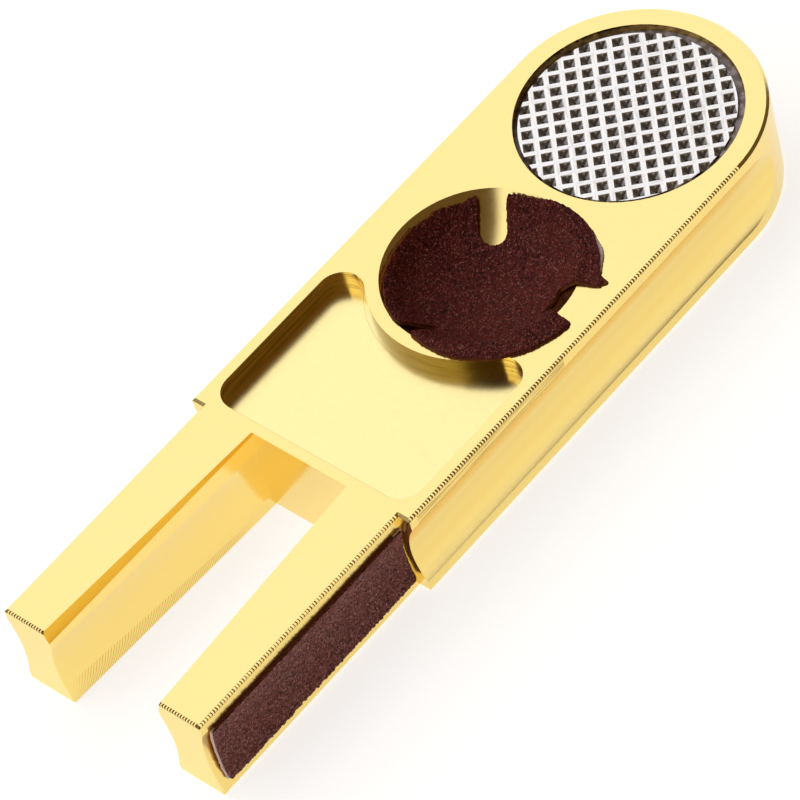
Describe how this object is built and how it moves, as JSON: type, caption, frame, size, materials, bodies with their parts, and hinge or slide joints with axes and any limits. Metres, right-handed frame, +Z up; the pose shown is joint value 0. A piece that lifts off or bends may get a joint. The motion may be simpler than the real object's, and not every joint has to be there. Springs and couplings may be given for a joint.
{
  "type": "cue tip dressing tool",
  "caption": "Fork-shaped pocket tool for dressing a cue tip: gold bar with a pitted steel scuffing disc, paper-lined shaping dish, shallow pocket and two prongs faced with abrasive paper.",
  "frame": {"origin": "on the underside, in the middle of the bar's length and width", "axes": "+X along the tool towards the round end, +Y across it towards the left prong, +Z up out of the working face"},
  "size_m": [0.0834, 0.025, 0.0105],
  "materials": {
    "gold_metal": "bright gold-coloured anodised metal, fly-cut top face, fine milled lines on the sides",
    "steel": "pressed square pits, bright ground face",
    "glue": "set grey-purple adhesive",
    "abrasive_grit": "dark red-brown grain in resin",
    "backing_paper": "pale pinkish paper, seen at the cut edges",
    "adhesive_film": "thin amber film"
  },
  "bodies": {
    "root": {"tool_body": "gold_metal", "scuffing_disc": "steel", "disc_glue": "glue", "dish_tape": "adhesive_film", "dish_backing": "backing_paper", "dish_abrasive": "abrasive_grit", "right_prong_tape": "adhesive_film", "right_prong_backing": "backing_paper", "right_prong_abrasive": "abrasive_grit", "left_prong_tape": "adhesive_film", "left_prong_backing": "backing_paper", "left_prong_abrasive": "abrasive_grit"}
  },
  "joints": []
}
